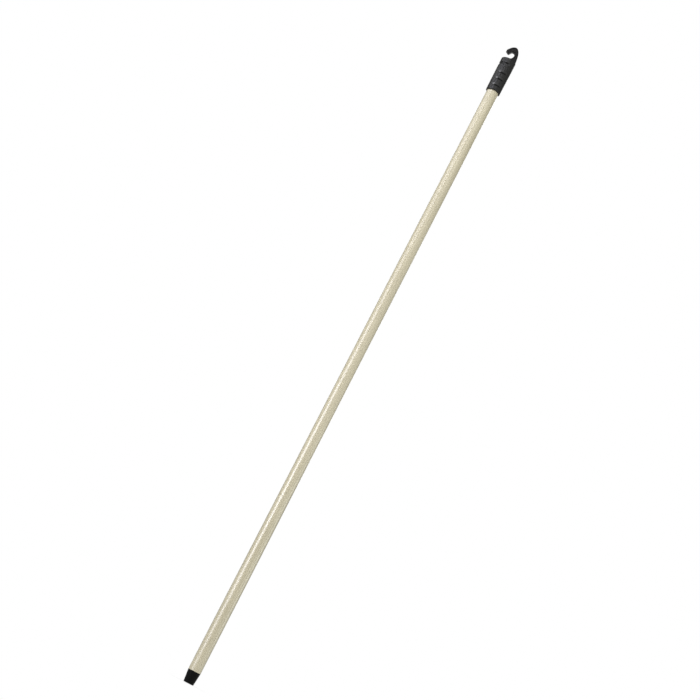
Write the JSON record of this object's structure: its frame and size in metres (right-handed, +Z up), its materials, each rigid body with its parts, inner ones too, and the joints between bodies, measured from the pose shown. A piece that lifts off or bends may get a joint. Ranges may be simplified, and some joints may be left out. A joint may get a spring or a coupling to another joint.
{
  "type": "roller extension pole",
  "caption": "Fixed-length plastic-coated steel pole with a tapered plug end for a paint roller handle and a moulded grip cap ending in an open hanging hook.",
  "frame": {"origin": "centre of the tapered tip's flat bottom face", "axes": "+Z up the pole to the hook's crest; the hook lies in the XZ plane with its stem on +X and its mouth open towards -X"},
  "size_m": [0.0276, 0.031, 1.25],
  "materials": {
    "steel": "bare welded steel tube, seen only inside the coating",
    "coating": "smooth glossy cream extruded coating",
    "cap": "black moulded plastic with a fine satin texture",
    "tip": "black moulded plastic, smooth satin"
  },
  "bodies": {
    "root": {"steel_tube": "steel", "plastic_sleeve": "coating", "hanging_cap": "cap", "tapered_tip": "tip"}
  },
  "joints": []
}
